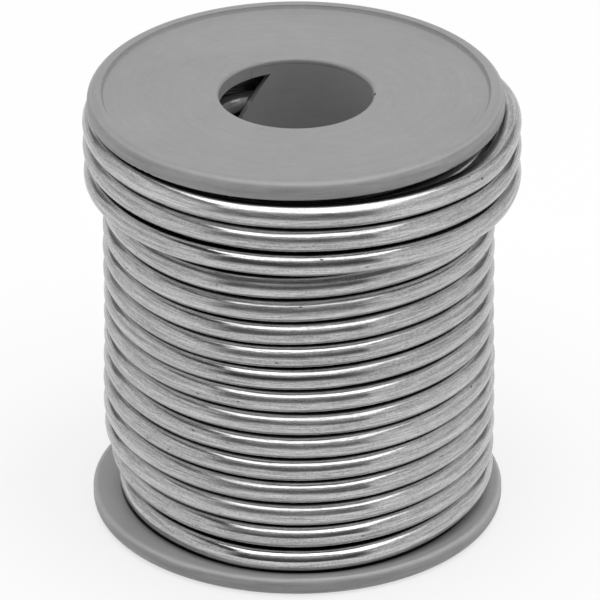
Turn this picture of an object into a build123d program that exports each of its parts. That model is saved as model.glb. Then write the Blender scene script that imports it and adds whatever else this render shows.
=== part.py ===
from build123d import *
import os
from math import cos, dist, pi, radians, sin, sqrt, tan

# Solder wire spool: two plastic mouldings that plug together, and one long wire wound on them.
# Millimetres, +Z up, origin on the spool's axis in the plane that it stands on.
# Angles are measured round the axis from +X, counter-clockwise seen from above.

# ---- spool -------------------------------------------------------------------------------
spool_height = 56.5
flange_radius = 25.4
rim_thickness = 2.35
face_recess = 0.5            # how far the flat outer face lies below the rim's crest
bead_width = 2.0             # raised rim, from its foot on the face to the outside edge
outer_edge_round = 1.2       # convex run from the crest to the outside edge
crest_flat = 0.4             # the narrow flat ring that the spool stands on
crest_round = 0.2            # the crest's edge over the face
inner_edge_round = 0.45
hole_edge_round = 0.4

bore_radius = 9.4
core_wall = 1.2
tip_wall = 0.8               # the core's top end is thinner, so that it leaves a shoulder
lip_thickness = 0.65         # the top flange's lip, which the tips end under
fit_clearance = 0.05         # between the tips and their seat in the top flange

window_centre = 184.0        # opening in the core wall, where the winding starts
window_top_half_angle = 75.0
window_bottom_half_angle = 37.0
window_height = 7.0
slope_lean = 28.0            # the slopes are cut this far off the radial direction
slope_overlap = 1.0          # each slope's cut runs this far into the straight-sided slice
key_half_angle = 59.0        # the flange's key, which fills the gap between the core's tips
slit_width = 0.5             # splits the core's end into two springy tips
slit_angle = 358.0
notch_depth = 0.3            # the slit shows as a notch in the lip's edge

# ---- wire --------------------------------------------------------------------------------
wire_diameter = 2.66
wire_gap = 0.46              # free gap between neighbouring turns
hidden_layers = 4
hidden_layer_step = 2.48     # radial step of the buried layers, nested in each other
core_clearance = 0.1
winding_clearance = 0.14     # outer layer to the buried layers
end_clearance = 0.35         # first turn to the lower flange
winding_shift = 0.28         # the turns sit a little to +X of the axis
loose_shift = 0.58           # the top turns, under the loose ones, sit further out
loose_turns = 3
loose_clearance = 0.2        # the highest loose turn to the top flange
nest_step = 2.78             # radial step from the outer layer up to the loose turns
slack_step = 0.3             # extra step on the +X side, where the loose turns stand off
crossing_step = 0.65         # extra step at the back, where they cross the turns beneath
loose_tilt = 0.8             # how far a loose turn comes down from -X to +X
climb_rise = 0.7             # the climbing wire goes up this much ahead of its way out
climb_delay = 1.6            # over 1 keeps the climbing wire in until the loose turn has passed
cut_end_turn = 0.2           # the last part of a turn, round the back to the cut end

# ---- what follows from them -----------------------------------------------------------------
core_radius = bore_radius + core_wall
tip_radius = bore_radius + tip_wall
seat_radius = tip_radius + fit_clearance
face_level = spool_height - face_recess
lip_level = face_level - lip_thickness
underside_level = spool_height - rim_thickness
crest_radius = flange_radius - outer_edge_round
bead_foot_radius = flange_radius - bead_width

wire_radius = wire_diameter / 2
pitch = wire_diameter + wire_gap
wound_radius = core_radius + hidden_layers * hidden_layer_step
turn_radius = wound_radius + loose_shift + winding_clearance + wire_radius
first_level = rim_thickness + end_clearance + wire_radius
loose_level = underside_level - loose_clearance - wire_radius
winding_room = underside_level - first_level - wire_radius
turns = int(winding_room / pitch) + 1

os.makedirs("parts", exist_ok=True)


# ---- spool mouldings -------------------------------------------------------------------------
def flange_outline(level):
    """Half section of a flange. level() turns a depth below the crest into a height."""
    corner = cos(pi / 4)
    Polyline(
        (bore_radius, level(face_recess + hole_edge_round)),
        (bore_radius, level(rim_thickness)),
        (flange_radius - inner_edge_round, level(rim_thickness)),
    )
    ThreePointArc(
        (flange_radius - inner_edge_round, level(rim_thickness)),
        (
            flange_radius - inner_edge_round * (1 - corner),
            level(rim_thickness - inner_edge_round * (1 - corner)),
        ),
        (flange_radius, level(rim_thickness - inner_edge_round)),
    )
    Line(
        (flange_radius, level(rim_thickness - inner_edge_round)),
        (flange_radius, level(outer_edge_round)),
    )
    ThreePointArc(
        (flange_radius, level(outer_edge_round)),
        (crest_radius + outer_edge_round * corner, level(outer_edge_round * (1 - corner))),
        (crest_radius, level(0)),
    )
    Line((crest_radius, level(0)), (crest_radius - crest_flat, level(0)))
    ThreePointArc(
        (crest_radius - crest_flat, level(0)),
        (crest_radius - crest_flat - crest_round * corner, level(crest_round * (1 - corner))),
        (crest_radius - crest_flat - crest_round, level(crest_round)),
    )
    Polyline(
        (crest_radius - crest_flat - crest_round, level(crest_round)),
        (bead_foot_radius, level(face_recess)),
        (bore_radius + hole_edge_round, level(face_recess)),
    )
    ThreePointArc(
        (bore_radius + hole_edge_round, level(face_recess)),
        (
            bore_radius + hole_edge_round * (1 - corner),
            level(face_recess + hole_edge_round * (1 - corner)),
        ),
        (bore_radius, level(face_recess + hole_edge_round)),
    )


def slice_outline(radius, start, end):
    """Outline of a slice of a disc, between two angles."""
    rim = CenterArc((0, 0), radius, start, end - start)
    Line(rim @ 1, (0, 0))
    Line((0, 0), rim @ 0)


with BuildPart() as core_and_lower_flange:
    with BuildSketch(Plane.XZ):
        with BuildLine():
            flange_outline(lambda depth: depth)
        make_face()
    revolve(axis=Axis.Z)

    # core tube, up to the shoulder that carries the top flange
    with BuildSketch(Plane.XY.offset(rim_thickness)):
        Circle(core_radius)
        Circle(bore_radius, mode=Mode.SUBTRACT)
    extrude(amount=underside_level - rim_thickness)

    # the tips, which pass into the top flange and end under its lip
    with BuildSketch(Plane.XY.offset(underside_level)):
        with BuildLine():
            slice_outline(
                tip_radius,
                window_centre + key_half_angle - 360,
                window_centre - key_half_angle,
            )
        make_face()
        Circle(bore_radius, mode=Mode.SUBTRACT)
    extrude(amount=lip_level - fit_clearance - underside_level)

    # the window under the top flange: a slice with straight sides, and a slope each side of it
    sill_level = underside_level - window_height
    with BuildSketch(Plane.XY.offset(sill_level)):
        with BuildLine():
            slice_outline(
                2 * core_radius,
                window_centre - window_bottom_half_angle,
                window_centre + window_bottom_half_angle,
            )
        make_face()
    extrude(amount=window_height, mode=Mode.SUBTRACT)
    slope_half_angle = (window_top_half_angle - window_bottom_half_angle) / 2
    slope_foot = -bore_radius * sin(radians(slope_lean + slope_half_angle))
    slope_top = -bore_radius * sin(radians(slope_lean - slope_half_angle))
    for side in (-1, 1):
        cut_angle = window_centre + side * (
            window_bottom_half_angle + slope_half_angle + slope_lean
        )
        slope_plane = Plane(
            origin=(0, 0, 0),
            x_dir=(-side * sin(radians(cut_angle)), side * cos(radians(cut_angle)), 0),
            z_dir=(side * cos(radians(cut_angle)), side * sin(radians(cut_angle)), 0),
        )
        with BuildSketch(slope_plane):
            with BuildLine():
                Polyline(
                    (slope_foot - slope_overlap, sill_level),
                    (slope_foot, sill_level),
                    (slope_top, underside_level),
                    (slope_foot - slope_overlap, underside_level),
                    close=True,
                )
            make_face()
        extrude(amount=side * 2 * core_radius, mode=Mode.SUBTRACT)

    # the slit between the two tips
    slit_plane = Plane(
        origin=(0, 0, underside_level),
        x_dir=(cos(radians(slit_angle)), sin(radians(slit_angle)), 0),
        z_dir=(0, 0, 1),
    )
    with BuildSketch(slit_plane):
        Rectangle(2 * core_radius, slit_width, align=(Align.MIN, Align.CENTER))
    extrude(amount=rim_thickness, mode=Mode.SUBTRACT)

with BuildPart() as top_flange:
    with BuildSketch(Plane.XZ):
        with BuildLine():
            flange_outline(lambda depth: spool_height - depth)
        make_face()
    revolve(axis=Axis.Z)

    # seat for the core's tips; what is left of the bore's edge is the key between them
    key_clearance = fit_clearance / tip_radius * 180 / pi
    with BuildSketch(Plane.XY.offset(underside_level)):
        with BuildLine():
            slice_outline(
                seat_radius,
                window_centre + key_half_angle - key_clearance - 360,
                window_centre - key_half_angle + key_clearance,
            )
        make_face()
    extrude(amount=lip_level - underside_level, mode=Mode.SUBTRACT)

    # the notch in the lip's edge, over the slit
    with BuildSketch(slit_plane):
        Rectangle(bore_radius + notch_depth, slit_width, align=(Align.MIN, Align.CENTER))
    extrude(amount=rim_thickness, mode=Mode.SUBTRACT)


# ---- wire ------------------------------------------------------------------------------------
with BuildPart() as inner_wire_layers:
    with BuildSketch(Plane.XY.offset(rim_thickness)):
        Circle(wound_radius)
        Circle(core_radius + core_clearance, mode=Mode.SUBTRACT)
    extrude(amount=underside_level - rim_thickness)


def ease(share):
    """0 to 1 with a level start and a level end."""
    return share * share * (3 - 2 * share)


def mix(start, end, share):
    return start + (end - start) * share


def turn_shift(turn):
    """How far a turn's centre sits to +X of the axis."""
    return winding_shift if turn < turns - loose_turns else loose_shift


def wire_point(turn):
    """The wire's centreline. Whole turns start at -X, pass the front (-Y) level, and change
    level in the half turn round the back."""
    number = int(turn)
    angle = 2 * pi * turn + pi
    back = ease(max(0.0, 2 * (turn - number) - 1))
    over = sin(angle) ** 2 if back > 0 else 0.0
    slack = slack_step * (1 + cos(angle)) / 2
    if number < turns - 1:
        shift = mix(turn_shift(number), turn_shift(number + 1), back)
        radius = turn_radius
        level = first_level + pitch * (number + back)
    elif number < turns:
        # the climb into the loose layer
        shift = loose_shift
        radius = turn_radius + nest_step * back**climb_delay
        level = mix(first_level + pitch * number, loose_level, back) + climb_rise * over
    else:
        shift = loose_shift
        radius = turn_radius + nest_step + slack + crossing_step * over
        front = min(1.0, 2 * (turn - number))
        down = (number - turns) * pitch + loose_tilt * ease(front) + (pitch - loose_tilt) * back
        level = loose_level - down
    return (shift + radius * cos(angle), radius * sin(angle), level)


def heading(turn):
    """Unit tangent of the centreline."""
    step = 0.001
    before = Vector(wire_point(max(turn - step, 0.0)))
    after = Vector(wire_point(turn + step))
    return (after - before).normalized()


def biarc(start, start_dir, end, end_dir):
    """Two arcs that leave start along start_dir and reach end along end_dir."""
    chord = end - start
    both = start_dir + end_dir
    spread = 2 * (1 - start_dir.dot(end_dir))
    along = chord.dot(both)
    reach = (sqrt(along * along + spread * chord.dot(chord)) - along) / spread
    middle = (start + end + (start_dir - end_dir) * reach) / 2
    first = TangentArc(start, middle, tangent=start_dir)
    second = TangentArc(middle, end, tangent=first % 1)
    return [first, second]


total_turns = turns + loose_turns - 0.5 + cut_end_turn
quarter_turns = [number / 4 for number in range(int(total_turns * 4) + 1)]
if total_turns - quarter_turns[-1] > 0.05:
    quarter_turns.append(total_turns)

with BuildPart() as outer_wire_layer:
    with BuildLine() as wire_path:
        stops = [Vector(wire_point(turn)) for turn in quarter_turns]
        headings = [heading(turn) for turn in quarter_turns]
        bends = []
        Line(stops[0] - headings[0] * wire_diameter, stops[0])
        for number in range(len(stops) - 1):
            bends += biarc(
                stops[number], headings[number], stops[number + 1], headings[number + 1]
            )
        Line(stops[-1], stops[-1] + headings[-1] * wire_diameter)
    start_plane = Plane(origin=stops[0] - headings[0] * wire_diameter, z_dir=headings[0])
    with BuildSketch(start_plane):
        Circle(wire_radius)
    sweep(path=wire_path.wire())


def least_gap():
    """Smallest free gap between two stretches of the wire at least a third of a turn apart."""
    samples = 9
    points = [tuple(bend @ (i / samples)) for bend in bends for i in range(samples)]
    apart = samples * 8 // 3
    nearest = min(
        dist(points[i], points[j])
        for i in range(len(points))
        for j in range(i + apart, len(points))
    )
    return nearest - wire_diameter


wire_path_length = sum(bend.length for bend in bends) + 2 * wire_diameter
print("turns in the outer layer:", turns, "loose turns:", loose_turns)
print("least gap of the wire to itself:", round(least_gap(), 3))
print("tightest bend radius:", round(min(bend.radius for bend in bends), 2))
print(
    "tube volume:",
    round(outer_wire_layer.part.volume, 1),
    "section times length:",
    round(pi * wire_radius**2 * wire_path_length, 1),
)

nodes = {
    "core_and_lower_flange": core_and_lower_flange,
    "top_flange": top_flange,
    "inner_wire_layers": inner_wire_layers,
    "outer_wire_layer": outer_wire_layer,
}
for name, piece in nodes.items():
    piece.part.label = name
    export_step(piece.part, f"parts/{name}.step")
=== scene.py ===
import math

import bpy
import numpy as np
from mathutils import Matrix, Vector


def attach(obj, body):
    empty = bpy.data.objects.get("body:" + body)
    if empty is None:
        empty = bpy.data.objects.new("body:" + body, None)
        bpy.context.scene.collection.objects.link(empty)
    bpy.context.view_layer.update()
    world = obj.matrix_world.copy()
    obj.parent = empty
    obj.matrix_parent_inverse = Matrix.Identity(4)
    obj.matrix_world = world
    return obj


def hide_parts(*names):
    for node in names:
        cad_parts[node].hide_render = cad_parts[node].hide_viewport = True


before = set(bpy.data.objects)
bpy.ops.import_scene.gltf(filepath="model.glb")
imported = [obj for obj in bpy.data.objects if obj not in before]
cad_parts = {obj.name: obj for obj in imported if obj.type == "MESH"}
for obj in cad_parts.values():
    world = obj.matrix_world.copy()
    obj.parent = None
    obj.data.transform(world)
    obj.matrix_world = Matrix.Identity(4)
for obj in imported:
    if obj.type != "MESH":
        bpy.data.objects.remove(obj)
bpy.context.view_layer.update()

MM = 0.001

# ---- sizes, in mm ------------------------------------------------------------------------------


def node_box(name):
    """The lowest and the highest corner of a CAD node's box."""
    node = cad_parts[name]
    corners = np.array([node.matrix_world @ Vector(corner) for corner in node.bound_box]) / MM
    return corners.min(0).tolist(), corners.max(0).tolist()


flange_low, flange_high = node_box("top_flange")
FLANGE_RADIUS = flange_high[0]
HEIGHT = flange_high[2]
UPPER_RIM_FOOT = flange_low[2]
RIM = HEIGHT - UPPER_RIM_FOOT
BORE_RADIUS = 9.4
CONTACT_SHADOW_REACH = 22.15  # how far out the painted contact shadow lies on the lower flange, at the left
CONTACT_SHADOW_START = 12.0  # the painted contact shadow stays off the core

# The wire. Turns are counted from the innermost one.
WIRE_RADIUS = 1.485
PITCH = 3.118
FIRST_LEVEL = 3.88
TURNS = 16
LAYERS = 5
FIRST_RADIUS = 12.09
OUTER_RADIUS = 22.43
OUTER_SHIFT = 0.28
LOOSE_LEVELS = (52.24, 49.07, 45.8)
LOOSE_RADIUS = 25.14
LOOSE_SHIFT = 0.66
END_TURN = 0.2
FIRST_OUTER = TURNS * (LAYERS - 1)
FIRST_LOOSE = TURNS * LAYERS
RIGHT = 0.5  # where in its turn the wire passes +X
WIRE_START = 0.02
JOIN_TURN = FIRST_OUTER - 0.45  # where buried_wire goes over into outer_wire
WIRE_END = FIRST_LOOSE + len(LOOSE_LEVELS) - 1 + RIGHT + END_TURN
BURIED_SECTIONS = 96  # to a turn
BURIED_SIDES = 12
OUTER_SECTIONS = 150
OUTER_SIDES = 32

# How far the turns lie from an even winding
CLIMB_LIFT = 0.45
RIDE_UP = 0.2
RIDE_OUT = 0.45
FRONT_RISE = 0.62
LOW_LIFT = 1.0
LEFT_LIFT = 0.4
LEFT_MIDDLE_LIFT = 0.3
LEFT_LOWEST_DROP = 0.95
RIGHT_LIFT = 0.3
RIGHT_MIDDLE_LIFT = 0.05
PULLED_IN = 0.92
PULLED_HEIGHT = 6.4
LOWEST_FORWARD = 0.4
STAND_OUT = 0.1
LOWER_STAND_OUT = 0.16
PRESSED_IN = 0.62
LOOSE_SAG = 1.1
LOOSE_DROP = 0.06
UPPER_LOOSE_LIFT = 0.42
HELD_UP = 0.85
SLACK = 0.12
LOOSE_BEHIND = 0.66
LEVEL_WANDER = 0.045
RADIUS_WANDER = 0.04
LOOSE_UNREST = 1.5

# ---- helpers for node trees --------------------------------------------------------------------


class Nodes:
    """Short calls for building a node tree."""

    def __init__(self, tree):
        self.tree = tree
        tree.nodes.clear()

    def add(self, kind, inputs=(), **settings):
        node = self.tree.nodes.new(kind)
        for key, value in settings.items():
            setattr(node, key, value)
        for socket, value in dict(inputs).items():
            self.feed(node.inputs[socket], value)
        return node

    def feed(self, socket, value):
        if isinstance(value, bpy.types.NodeSocket):
            self.tree.links.new(value, socket)
        else:
            socket.default_value = value

    def feed_all(self, node, values):
        for socket, value in zip(node.inputs, values):
            self.feed(socket, value)
        return node.outputs[0]

    def math(self, operation, *values):
        return self.feed_all(self.add("ShaderNodeMath", operation=operation), values)

    def stretch(self, vector, factors):
        return self.feed_all(self.add("ShaderNodeVectorMath", operation="MULTIPLY"), (vector, factors))

    def split(self, vector):
        return self.add("ShaderNodeSeparateXYZ", {"Vector": vector}).outputs

    def join(self, x, y, z):
        return self.add("ShaderNodeCombineXYZ", {"X": x, "Y": y, "Z": z}).outputs[0]

    def from_axis(self, x, y):
        """The distance from the Z axis."""
        return self.math("SQRT", self.math("ADD", self.times(x, x), self.times(y, y)))

    def times(self, first, *others):
        """The product of all values."""
        for other in others:
            first = self.math("MULTIPLY", first, other)
        return first

    def plus(self, value, field, weight):
        """The value with a weighted field added."""
        return self.math("ADD", value, self.math("MULTIPLY", field, weight))

    def vary(self, value, field, spread):
        """The value, moved up and down by a field that lies round 0.5."""
        return self.plus(value, self.math("SUBTRACT", field, 0.5), spread)

    def smooth(self, value, start, end):
        """Smoothly from 0 at start to 1 at end."""
        node = self.add("ShaderNodeMapRange", interpolation_type="SMOOTHSTEP")
        return self.feed_all(node, (value, start, end))

    def mix(self, share, first, second):
        node = self.add("ShaderNodeMix")
        sockets = (node.inputs[0], node.inputs[2], node.inputs[3])
        for socket, given in zip(sockets, (share, first, second)):
            self.feed(socket, given)
        return node.outputs[0]

    def noise(self, vector, scale, detail, roughness=0.5, distortion=0.0):
        inputs = {"Vector": vector, "Scale": scale, "Detail": detail, "Roughness": roughness}
        inputs["Distortion"] = distortion
        return self.add("ShaderNodeTexNoise", inputs).outputs[0]

    def grey(self, value):
        return self.add("ShaderNodeCombineColor", {0: value, 1: value, 2: value}).outputs[0]

    def bumps(self, height, strength):
        """A normal for a height field whose 1 is 0.03 mm."""
        inputs = {"Strength": strength, "Distance": 0.03 * MM, "Height": height}
        return self.add("ShaderNodeBump", inputs).outputs[0]


def new_material(name):
    material = bpy.data.materials.new(name)
    material.use_nodes = True
    return material, Nodes(material.node_tree)


# ---- materials ---------------------------------------------------------------------------------
# A number after a field says how far the field moves the tone, the roughness or the height.
PLASTIC_TONE = 0.29
PLASTIC_IOR = 1.5
# the tone of the painted contact shadow under the lowest turn
CONTACT_SHADOW_TONE = 0.012
SOLDER_TONE = 0.56


def plastic_material():
    """Grey moulded plastic: fine grain, flow marks, scuffs, painted light along the rims' edges, on the
    lower flange's inner face and in the bore, and a painted shadow in a corner.
    """
    material, n = new_material("moulded_grey_plastic")
    place = n.stretch(n.add("ShaderNodeTexCoord").outputs["Object"], (1 / MM, 1 / MM, 1 / MM))
    x, y, z = n.split(place)
    radius = n.from_axis(x, y)
    turned = n.join(radius, n.times(n.math("ARCTAN2", y, x), 2.0), z)

    grain = n.noise(place, scale=5.2, detail=3, roughness=0.62)
    mottle = n.noise(place, scale=0.9, detail=4, roughness=0.6)
    cloud = n.noise(place, scale=0.095, detail=3, roughness=0.5, distortion=0.4)
    flow = n.noise(turned, scale=1.6, detail=3, roughness=0.6, distortion=0.3)
    drawn_out = n.stretch(place, (2.6, 0.42, 1.4))
    strokes = n.noise(drawn_out, scale=1, detail=3, roughness=0.7, distortion=0.8)
    worn = n.noise(place, scale=0.15, detail=2)
    scuff = n.times(n.smooth(strokes, 0.66, 0.78), n.smooth(worn, 0.52, 0.68))

    tone = n.vary(PLASTIC_TONE, cloud, 0.05)
    tone = n.vary(tone, mottle, 0.05)
    tone = n.vary(tone, grain, 0.07)
    # the flow marks show most on the rims
    on_rim = n.smooth(radius, FLANGE_RADIUS - 0.5, FLANGE_RADIUS - 0.1)
    tone = n.vary(tone, flow, n.mix(on_rim, 0.05, 0.22))
    tone = n.plus(tone, scuff, 0.07)
    # painted light: the rims are painted lighter along their edges, standing in for bounced light, and
    # the lower one on its inner face
    rim_foot = n.mix(n.math("GREATER_THAN", z, HEIGHT / 2), 0.0, UPPER_RIM_FOOT)
    from_edge = n.math("PINGPONG", n.math("SUBTRACT", z, rim_foot), RIM / 2)
    outermost = n.smooth(radius, FLANGE_RADIUS - 0.8, FLANGE_RADIUS - 0.3)
    tone = n.plus(tone, n.times(n.smooth(from_edge, 0.55, 0.2), outermost), 0.08)
    inner_face = n.times(n.smooth(z, RIM - 0.35, RIM - 0.1), n.smooth(z, RIM + 0.35, RIM + 0.05))
    # painted fill light on the lower flange's inner face
    tone = n.plus(tone, inner_face, 0.08)
    # painted light: the core's inner wall is painted paler, standing in for light reaching into the
    # bore
    tone = n.plus(tone, n.smooth(radius, BORE_RADIUS + 0.15, BORE_RADIUS + 0.05), 0.07)
    # painted shadow: the corner under the lowest turn is painted near black, widest in front and behind
    frontness = n.math("POWER", n.math("DIVIDE", y, radius), 4.0)
    rightness = n.math("MAXIMUM", n.math("DIVIDE", x, radius), 0.0)
    wider = n.plus(n.times(frontness, 1.6), rightness, 0.8)
    painted_contact_shadow = n.smooth(n.math("SUBTRACT", radius, wider), CONTACT_SHADOW_REACH, CONTACT_SHADOW_REACH - 0.25)
    painted_contact_shadow = n.times(inner_face, painted_contact_shadow, n.math("GREATER_THAN", radius, CONTACT_SHADOW_START))
    tone = n.mix(painted_contact_shadow, tone, CONTACT_SHADOW_TONE)

    rough = n.plus(0.28, mottle, 0.16)
    rough = n.plus(rough, scuff, 0.12)
    height = n.plus(n.times(grain, 0.6), mottle, 0.8)
    height = n.plus(height, flow, 1.2)
    height = n.plus(height, scuff, -0.5)
    look = {"Base Color": n.grey(tone), "Roughness": rough, "Normal": n.bumps(height, 0.55)}
    shader = n.add("ShaderNodeBsdfPrincipled", look)
    shader.inputs["IOR"].default_value = PLASTIC_IOR
    n.add("ShaderNodeOutputMaterial", {"Surface": shader.outputs[0]})
    return material


def solder_material():
    """Bright drawn tin solder: lengthwise streaks, pits, dull patches, painted shade in the grooves."""
    material, n = new_material("drawn_tin_solder")
    straight = n.add("ShaderNodeAttribute", attribute_name="straight").outputs["Vector"]
    along, out, up = n.split(straight)

    def streaks(stretch, scale, detail, roughness=0.65):
        """Noise that is drawn out along the wire. A lower stretch gives longer streaks."""
        return n.noise(n.join(n.times(along, stretch), out, up), scale, detail, roughness)

    def by_length(stretch, detail):
        """Noise that is the same all round the wire."""
        return n.noise(n.join(n.times(along, stretch), 0.0, 0.0), 1, detail)

    drawn = n.smooth(streaks(0.03, scale=2.4, detail=3), 0.32, 0.68)
    fine = n.smooth(streaks(0.06, scale=6.5, detail=2), 0.32, 0.68)
    patch = streaks(0.12, scale=0.55, detail=3)
    wave = streaks(0.06, scale=0.7, detail=1)
    speckle = streaks(0.6, scale=6, detail=3, roughness=0.75)
    scratch = n.smooth(streaks(0.12, scale=4.5, detail=2), 0.64, 0.72)
    scratch = n.times(scratch, n.smooth(streaks(0.3, scale=0.4, detail=1), 0.5, 0.6))
    dull = n.smooth(by_length(0.035, detail=2), 0.42, 0.66)
    haze = n.smooth(by_length(0.012, detail=1), 0.34, 0.62)
    # a few of these cells hold a pit, of a size by chance
    cells_per_mm = 1.3
    cell_inputs = {"Vector": n.join(n.times(along, 0.45), out, up), "Scale": cells_per_mm}
    cells = n.add("ShaderNodeTexVoronoi", cell_inputs).outputs
    chance = n.split(cells["Color"])[0]
    size = n.times(n.smooth(chance, 0.80, 1.0), 0.2)
    pit = n.smooth(cells["Distance"], n.math("ADD", size, 0.0001), n.times(size, 0.5))
    pit = n.times(pit, n.math("GREATER_THAN", chance, 0.83))
    # painted shade where the turns touch, standing in for the dark between them
    groove_shade = n.add("ShaderNodeAttribute", attribute_name="groove_shade").outputs["Fac"]
    at_touch = n.smooth(n.math("ABSOLUTE", up), 0.90 * WIRE_RADIUS, 0.97 * WIRE_RADIUS)
    painted_groove_shade = n.times(groove_shade, at_touch)

    tone = n.vary(SOLDER_TONE, patch, 0.10)
    tone = n.vary(tone, drawn, 0.19)
    tone = n.vary(tone, fine, 0.18)
    tone = n.vary(tone, speckle, 0.66)
    tone = n.plus(tone, scratch, -0.24)
    tone = n.plus(tone, pit, -0.35)
    tone = n.times(tone, n.plus(1.0, painted_groove_shade, -0.8))
    rough = n.plus(0.06, patch, 0.06)
    rough = n.plus(rough, dull, 0.16)
    rough = n.plus(rough, drawn, 0.05)
    rough = n.plus(rough, pit, 0.3)
    height = n.plus(n.times(drawn, 0.12), fine, 0.03)
    height = n.plus(height, wave, 3.0)
    height = n.plus(height, pit, -0.5)
    look = {"Base Color": n.grey(tone), "Roughness": rough, "Normal": n.bumps(height, 1.0)}
    # an oxide haze takes some of the metal's shine
    look["Metallic"] = n.plus(1.0, haze, -0.26)
    shader = n.add("ShaderNodeBsdfPrincipled", look)
    n.add("ShaderNodeOutputMaterial", {"Surface": shader.outputs[0]})
    return material


# ---- the wire's path ---------------------------------------------------------------------------
# One length of wire. Each whole turn starts at -X, passes the front level, and eases to the next
# turn's level and radius round the back.


def turn_table():
    """Level, radius and shift to +X of each turn."""
    rows = []
    for layer in range(LAYERS):
        share = layer / (LAYERS - 1)
        radius = FIRST_RADIUS + (OUTER_RADIUS - FIRST_RADIUS) * share
        for number in range(TURNS):
            if layer % 2 == 0:
                level = FIRST_LEVEL + PITCH * number
            else:
                level = FIRST_LEVEL + PITCH * (TURNS - 0.5 - number)
            rows.append((level, radius, OUTER_SHIFT * share))
    for level in LOOSE_LEVELS:
        rows.append((level, LOOSE_RADIUS, LOOSE_SHIFT))
    rows.append((2 * LOOSE_LEVELS[-1] - LOOSE_LEVELS[-2], LOOSE_RADIUS, LOOSE_SHIFT))
    return np.array(rows)


TABLE = turn_table()


def ramp(value, start, end):
    """Evenly from 0 at start to 1 at end."""
    return np.clip((value - start) / (end - start), 0.0, 1.0)


def fade(value, start, end):
    """Smoothly from 0 at start to 1 at end."""
    share = ramp(value, start, end)
    return share * share * (3 - 2 * share)


def wander(turn, seed, size):
    """A small smooth random walk along the wire."""
    rng = np.random.default_rng(seed)
    total = np.zeros_like(turn)
    for rate in (0.83, 1.71, 2.9, 5.3, 8.7):
        total += np.sin(2 * np.pi * (rate * turn + rng.random())) / rate**0.5
    return size * total / 2.2


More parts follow.
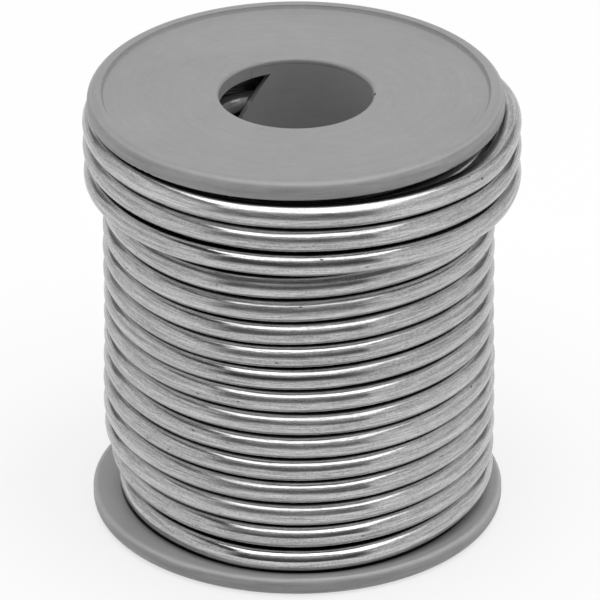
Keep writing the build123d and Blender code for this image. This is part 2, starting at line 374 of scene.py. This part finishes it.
class Path:
    """The wire's centre line for an array of turn counts."""

    def __init__(self, turn):
        self.turn = turn
        number = np.floor(turn).astype(int)
        # where in its turn a place is: 0 at the left, 0.25 in front, 0.5 at the right
        self.part = turn - number
        angle = 2 * np.pi * turn + np.pi
        self.rightward, self.frontward = np.cos(angle), -np.sin(angle)
        behind = self.part > RIGHT
        self.behind = np.where(behind, self.frontward**2, 0.0)
        self.passing = fade(self.part, RIGHT, 1.0)  # the share of the way to the next turn
        self.outer_part = turn - FIRST_OUTER
        self.climbing = (number == FIRST_LOOSE - 1) & behind
        self.loose = turn >= FIRST_LOOSE
        here, there = TABLE[number], TABLE[np.minimum(number + 1, len(TABLE) - 1)]
        self.level, self.radius, self.shift = (here + (there - here) * self.passing[:, None]).T

    def move(self, where, up, out):
        """Moves the places where a condition holds."""
        self.level = self.level + np.where(where, up, 0.0)
        self.radius = self.radius + np.where(where, out, 0.0)

    def climb(self):
        """At the top, the outer layer's last turn climbs onto its own layer."""
        radius = OUTER_RADIUS + (LOOSE_RADIUS - OUTER_RADIUS) * self.passing**1.5
        self.radius = np.where(self.climbing, radius, self.radius)
        self.move(self.climbing, up=CLIMB_LIFT * self.behind, out=0.0)

    def enter(self):
        """The first outer turn comes up out of the layer beneath, and is in place soon after -X."""
        beneath = fade(self.outer_part, 0.12, -0.2)
        changed = (self.outer_part > -0.5) & (self.outer_part < 0.25)
        radius = OUTER_RADIUS - (OUTER_RADIUS - TABLE[FIRST_OUTER - 1][1]) * beneath
        self.radius = np.where(changed, radius, self.radius)
        self.level = np.where(changed, FIRST_LEVEL + PITCH / 2 * beneath, self.level)

    def settle(self):
        """The regular turns lie unevenly. Each buried layer follows the outer one less and less."""
        height = self.level - FIRST_LEVEL
        left = self.rightward < 0
        settled = np.where(self.loose, 0.0, ramp(self.radius, FIRST_RADIUS, OUTER_RADIUS))
        settled = settled * np.where(self.climbing, 1 - self.passing, 1.0)

        # the upper turns rise to the right across the front
        rising = FRONT_RISE * fade(self.level, 22, 36) * self.frontward**2
        # at the sides all turns lie higher, but less so the lowest ones on the left
        middle = fade(height, 8, 16) * fade(height, 34, 29)
        left_lift = LEFT_LIFT + LEFT_MIDDLE_LIFT * middle - LEFT_LOWEST_DROP * ramp(height, 6, 0)
        right_lift = RIGHT_LIFT + RIGHT_MIDDLE_LIFT * middle
        lifted = LOW_LIFT * ramp(height, 24, 0) + np.where(left, left_lift, right_lift)
        self.level = self.level + settled * (rising * self.rightward + lifted * self.rightward**2)

        # the lowest turns are pulled in on the left, and the first one comes forward in front
        lowest = np.clip(1 - (height / PULLED_HEIGHT) ** 2, 0, 1)
        pulled = PULLED_IN * lowest * fade(self.rightward, -0.2, -0.95)
        forward = LOWEST_FORWARD * ramp(height, 3, 0) * self.frontward**4
        # at the sides all stand out a little, and those over the lowest ones a little more
        stand = STAND_OUT + LOWER_STAND_OUT * fade(height, 0, 8) * fade(height, 20, 14)
        # the highest ones are pressed in on the left, under the loose turns
        pressed = PRESSED_IN * fade(self.level, 42.6, 44.2) * fade(self.rightward, -0.6, -0.9)
        out = stand * self.rightward**2 + forward - pulled - pressed
        self.radius = self.radius + settled * out

    def ride(self):
        """The first outer turn's end rides over its own start."""
        riding = (self.outer_part > RIGHT) & (self.outer_part < 1.0)
        self.move(riding, up=RIDE_UP * self.behind, out=RIDE_OUT * self.behind)

    def loosen(self):
        """The loose turns sag from the front to the right, and stand out at the right and behind."""
        sag = LOOSE_DROP + LOOSE_SAG * (fade(self.part, 0.2625, 0.5125) - self.passing)
        # the upper ones lie higher at both sides, and each is held up where it passes +X
        follow = np.where(self.loose, 1.0, np.where(self.climbing, self.passing, 0.0))
        sides = UPPER_LOOSE_LIFT * fade(self.level, 44.6, 47.8) * self.rightward**2 * follow
        held = HELD_UP * fade(self.part, 0.405, RIGHT) * fade(self.part, 0.65, RIGHT)
        slack = SLACK * (1 + self.rightward) / 2
        self.level = self.level + sides
        self.move(self.loose, up=held - sag, out=slack + LOOSE_BEHIND * self.behind)
        self.move(self.climbing, up=-LOOSE_DROP * self.passing, out=0.0)

    def stray(self):
        """No turn is quite true, and the loose ones least."""
        unrest = np.where(self.loose, LOOSE_UNREST, 1.0)
        self.level = self.level + unrest * wander(self.turn, 11, LEVEL_WANDER)
        self.radius = self.radius + unrest * wander(self.turn, 23, RADIUS_WANDER)

    def points(self):
        x = self.shift + self.radius * self.rightward
        return np.stack([x, -self.radius * self.frontward, self.level], 1)


def centreline(turn):
    """The wire's centre points, for an array of turn counts."""
    path = Path(turn)
    path.climb()
    path.enter()
    path.settle()
    path.ride()
    path.loosen()
    path.stray()
    return path.points()


# ---- the wire's mesh ---------------------------------------------------------------------------


def unit(vectors):
    return vectors / np.linalg.norm(vectors, axis=1)[:, None]


def section_axes(turns, points):
    """The outward and the upward direction of the wire's section at each point."""
    step = 1e-4
    ahead = unit(centreline(turns + step) - centreline(turns - step))
    outward = points * (1, 1, 0) - np.array([OUTER_SHIFT, 0, 0])
    outward = unit(outward - (outward * ahead).sum(1)[:, None] * ahead)
    return outward, np.cross(outward, ahead)


def flatness(length, cut_start, cut_end):
    """The share of the wire's full thickness at each point. Side cutters leave a blunt wedge."""
    edge, reach = 0.18, 1.6
    flat = np.ones(len(length))
    for cut, gone in ((cut_start, length - length[0]), (cut_end, length[-1] - length)):
        if cut:
            flat = np.minimum(flat, edge + (1 - edge) * np.sqrt(ramp(gone, 0, reach)))
    return flat


def tube_mesh(name, verts, count, sides):
    """A closed tube of count sections with so many sides each."""
    section = np.arange(count - 1)[:, None] * sides
    side = np.arange(sides)[None, :]
    following = (side + 1) % sides
    corners = (section + side, section + sides + side, section + sides + following, section + following)
    quads = np.stack(corners, -1).reshape(-1, 4)
    caps = np.array([range(sides - 1, -1, -1), range((count - 1) * sides, count * sides)])
    loops = np.concatenate([quads.ravel(), caps.ravel()])
    starts = np.concatenate([np.arange(len(quads)) * 4, quads.size + np.arange(len(caps)) * sides])

    mesh = bpy.data.meshes.new(name)
    mesh.vertices.add(len(verts))
    mesh.vertices.foreach_set("co", verts.astype(np.float32).ravel())
    mesh.loops.add(len(loops))
    mesh.loops.foreach_set("vertex_index", loops.astype(np.int32))
    mesh.polygons.add(len(starts))
    mesh.polygons.foreach_set("loop_start", starts.astype(np.int32))
    mesh.update(calc_edges=True)
    mesh.validate()
    smooth = np.ones(len(starts), bool)
    smooth[-len(caps):] = False
    mesh.polygons.foreach_set("use_smooth", smooth)
    return mesh


def groove_shade_share(turns):
    """How much painted shade lies in the groove over each place. It is most under the top flange, but
    past the front right the first loose turn's top is open and has none."""
    top_turn = (turns > FIRST_LOOSE - 0.2) & (turns < FIRST_LOOSE + 1)
    return np.where(top_turn, 1.2 * fade(turns - FIRST_LOOSE, 0.46, 0.375), 1.0)


def add_bake_map(mesh, length, sides):
    """The wire's surface cut into rows of equal length, one under another."""
    margin, cap_place = 0.04, 0.002
    almost = 0.9999  # keeps the last point in the last row
    total = length[-1] - length[0]
    rows = max(1, round(math.sqrt(total / (2 * np.pi * WIRE_RADIUS))))
    run = (length - length[0]) / total * rows * almost
    row = np.floor(run[:-1])
    low, high = run[:-1] - row, np.minimum(run[1:] - row, 1.0)
    bottom = np.arange(sides) / sides
    top = bottom + 1 / sides
    span = len(row), sides
    u_low, u_high = np.broadcast_to(low[:, None], span), np.broadcast_to(high[:, None], span)
    v_low, v_high = (
        (row[:, None] + margin + (1 - 2 * margin) * edge) / rows for edge in (bottom, top)
    )
    uv = np.stack([u_low, v_low, u_high, v_low, u_high, v_high, u_low, v_high], -1).reshape(-1, 2)
    cap_uv = np.full((2 * sides, 2), cap_place)
    layer = mesh.uv_layers.new(name="OFBake")
    layer.uv.foreach_set("vector", np.concatenate([uv, cap_uv]).astype(np.float32).ravel())


def add_field(mesh, name, kind, channel, values):
    field = mesh.attributes.new(name, kind, "POINT")
    field.data.foreach_set(channel, values.astype(np.float32).ravel())


def wire_part(name, turns, sides, first_length=0.0, cut_start=False, cut_end=False):
    """A stretch of the wire, and the wire's length in mm up to its end. Its attribute 'straight'
    holds each point's place on the wire pulled straight, in mm: along it, outward and upward."""
    points = centreline(turns)
    outward, upward = section_axes(turns, points)
    steps = np.linalg.norm(np.diff(points, axis=0), axis=1)
    length = first_length + np.concatenate([[0], np.cumsum(steps)])
    flat = flatness(length, cut_start, cut_end)

    around = 2 * np.pi * np.arange(sides) / sides
    straight = np.empty((len(points), sides, 3))
    straight[:, :, 0] = length[:, None]
    straight[:, :, 1] = WIRE_RADIUS * np.cos(around)
    straight[:, :, 2] = WIRE_RADIUS * np.sin(around)
    across = outward[:, None] * straight[:, :, 1, None]
    across = across + upward[:, None] * (straight[:, :, 2] * flat[:, None])[:, :, None]
    verts = (points[:, None] + across).reshape(-1, 3) * MM

    mesh = tube_mesh(name, verts, len(points), sides)
    add_field(mesh, "straight", "FLOAT_VECTOR", "vector", straight)
    # the share of painted groove shade on the upper half of each section
    groove_shade = np.where(straight[:, :, 2] > 0, groove_shade_share(turns)[:, None], 1.0)
    add_field(mesh, "groove_shade", "FLOAT", "value", groove_shade)
    add_bake_map(mesh, length, sides)
    wire = bpy.data.objects.new(name, mesh)
    bpy.context.scene.collection.objects.link(wire)
    return wire, length[-1]


# ---- studio, in metres -------------------------------------------------------------------------
LAMP_HEIGHT = 1.0
LAMP_BRIGHTNESS = 2.0
scene = bpy.context.scene
scene.view_settings.view_transform = "Standard"


def plain_floor():
    """A white floor. The camera sees near white paper with a faint shadow. The metal sees it evenly
    lit, and as dark as the room some way in front."""
    mesh = bpy.data.meshes.new("floor")
    reach = 3.0
    corners = [(-reach, -reach, 0), (reach, -reach, 0), (reach, reach, 0), (-reach, reach, 0)]
    mesh.from_pydata(corners, [], [(0, 1, 2, 3)])
    floor = bpy.data.objects.new("floor", mesh)
    scene.collection.objects.link(floor)

    material, n = new_material("pale_floor")
    matte = n.add("ShaderNodeBsdfDiffuse", {"Color": (0.95, 0.95, 0.95, 1)})
    ray = n.add("ShaderNodeLightPath").outputs
    x, y, z = n.split(n.add("ShaderNodeTexCoord").outputs["Object"])
    away = n.from_axis(x, y)
    side = n.math("DIVIDE", x, away)
    in_front = n.times(n.smooth(side, 0.66, 0.58), n.smooth(side, -0.84, -0.66))
    in_front = n.times(in_front, n.math("LESS_THAN", y, 0.0))
    near_tone, mid_tone, dark_tone, far_tone = 0.74, 0.26, 0.07, 0.60
    ahead = n.mix(n.smooth(away, 0.125, 0.175), near_tone, mid_tone)
    ahead = n.mix(n.smooth(away, 0.24, 0.42), ahead, dark_tone)
    elsewhere = n.mix(n.smooth(away, 0.25, 1.2), near_tone, far_tone)
    reflected = n.mix(in_front, elsewhere, ahead)
    glow = n.add("ShaderNodeEmission", {"Color": n.grey(n.mix(ray["Is Glossy Ray"], 1.0, reflected))})
    share = n.plus(n.times(ray["Is Camera Ray"], 0.68), ray["Is Glossy Ray"], 0.8)
    seen = n.add("ShaderNodeMixShader", {0: share, 1: matte.outputs[0], 2: glow.outputs[0]})
    n.add("ShaderNodeOutputMaterial", {"Surface": seen.outputs[0]})
    mesh.materials.append(material)


def softbox(name, x, y, size):
    """A rectangular lamp overhead that shines straight down. A face of brightness 1 renders white."""
    data = bpy.data.lights.new(name, "AREA")
    data.shape = "RECTANGLE"
    data.size, data.size_y = size
    data.energy = LAMP_BRIGHTNESS * math.pi * size[0] * size[1]
    lamp = bpy.data.objects.new(name, data)
    lamp.location = (x, y, LAMP_HEIGHT)
    scene.collection.objects.link(lamp)


def studio_world():
    """Pale walls at both sides, a dark room behind the camera, white where the camera looks."""
    world = bpy.data.worlds.new("studio")
    world.use_nodes = True
    scene.world = world
    n = Nodes(world.node_tree)
    x, y, z = n.split(n.add("ShaderNodeTexCoord").outputs["Generated"])
    level = n.from_axis(x, y)
    side = n.math("DIVIDE", x, level)
    elevation = n.times(n.math("ARCSINE", z), 180 / math.pi)

    dark_room, pale_wall, back_wall, back_gap = 0.07, 0.66, 0.64, 0.13
    ceiling, ceiling_gap, strip_tone = 0.62, 0.30, 0.04
    lit = n.math("MAXIMUM", n.smooth(side, 0.60, 0.64), n.smooth(side, -0.60, -0.86))
    front_wall = n.mix(lit, dark_room, pale_wall)
    # behind, there is a dark gap at each side
    far_side = n.math("ABSOLUTE", side)
    gap = n.times(n.smooth(far_side, 0.82, 0.76), n.smooth(far_side, 0.50, 0.64))
    gap = n.times(gap, n.smooth(elevation, 4, 16))
    behind = n.mix(n.times(gap, n.smooth(elevation, 46, 36)), back_wall, back_gap)
    wall = n.mix(n.math("LESS_THAN", y, 0.0), behind, front_wall)
    wall = n.mix(n.smooth(elevation, 20, 55), wall, n.mix(gap, ceiling, ceiling_gap))
    # over the left wall the room is dark up to the lamp
    frontward = n.math("MAXIMUM", n.math("DIVIDE", n.times(y, -1.0), level), 0.0)
    above = n.plus(elevation, frontward, 12.0)
    strip = n.times(n.smooth(side, -0.66, -0.80), n.smooth(above, 44.5, 49.0))
    wall = n.mix(n.times(strip, n.smooth(elevation, 64, 60)), wall, strip_tone)

    studio = n.add("ShaderNodeBackground", {"Color": n.grey(wall), "Strength": 1.0})
    white = n.add("ShaderNodeBackground", {"Color": (1, 1, 1, 1), "Strength": 1.0})
    camera_ray = n.add("ShaderNodeLightPath").outputs["Is Camera Ray"]
    both = n.add("ShaderNodeMixShader", {0: camera_ray, 1: studio.outputs[0], 2: white.outputs[0]})
    n.add("ShaderNodeOutputWorld", {"Surface": both.outputs[0]})


# ---- camera, in metres -------------------------------------------------------------------------
CENTRE = Vector((0, 0, HEIGHT / 2 * MM))
DISTANCE = 0.9331
ELEVATION = math.radians(27.924)
ROLL = math.radians(0.216)
LENS = 455.24
SENSOR = 36
# the object sits a little off the middle
AIM_RIGHT = 0.00040
AIM_DOWN = 0.00064


def add_camera():
    back = Vector((0, -math.cos(ELEVATION), math.sin(ELEVATION)))
    right = Vector((1, 0, 0))
    up = Vector((0, math.sin(ELEVATION), math.cos(ELEVATION)))
    aim = CENTRE + right * AIM_RIGHT - up * AIM_DOWN
    place = CENTRE + back * DISTANCE
    look = (place - aim).normalized()
    side_axis = up.cross(look).normalized()
    top_axis = look.cross(side_axis)
    roll = Matrix.Rotation(-ROLL, 3, look)
    basis = Matrix((roll @ side_axis, roll @ top_axis, look)).transposed()

    data = bpy.data.cameras.new("camera")
    data.sensor_width = SENSOR
    data.lens = LENS
    data.clip_start = 0.01
    data.clip_end = 20
    camera = bpy.data.objects.new("camera", data)
    camera.matrix_world = Matrix.Translation(place) @ basis.to_4x4()
    scene.collection.objects.link(camera)
    scene.camera = camera


# ---- the scene ---------------------------------------------------------------------------------
plastic = plastic_material()
solder = solder_material()
for node in ("core_and_lower_flange", "top_flange"):
    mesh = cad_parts[node].data
    mesh.materials.clear()
    mesh.materials.append(plastic)

buried_turns = np.linspace(WIRE_START, JOIN_TURN, int(JOIN_TURN * BURIED_SECTIONS))
outer_turns = np.linspace(JOIN_TURN, WIRE_END, int((WIRE_END - JOIN_TURN) * OUTER_SECTIONS))
buried_wire, buried_length = wire_part("buried_wire", buried_turns, BURIED_SIDES, cut_start=True)
outer_wire, wire_length = wire_part(
    "outer_wire", outer_turns, OUTER_SIDES, buried_length, cut_end=True
)
print("wire length in mm:", round(wire_length))
for wire, node in ((buried_wire, "inner_wire_layers"), (outer_wire, "outer_wire_layer")):
    wire.data.materials.append(solder)
    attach(wire, "root")
    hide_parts(node)

plain_floor()
studio_world()
softbox("overhead_softbox", 0.05, -0.08, (1.16, 0.96))
softbox("overhead_softbox_front", -0.01, -0.63, (1.38, 0.14))
add_camera()
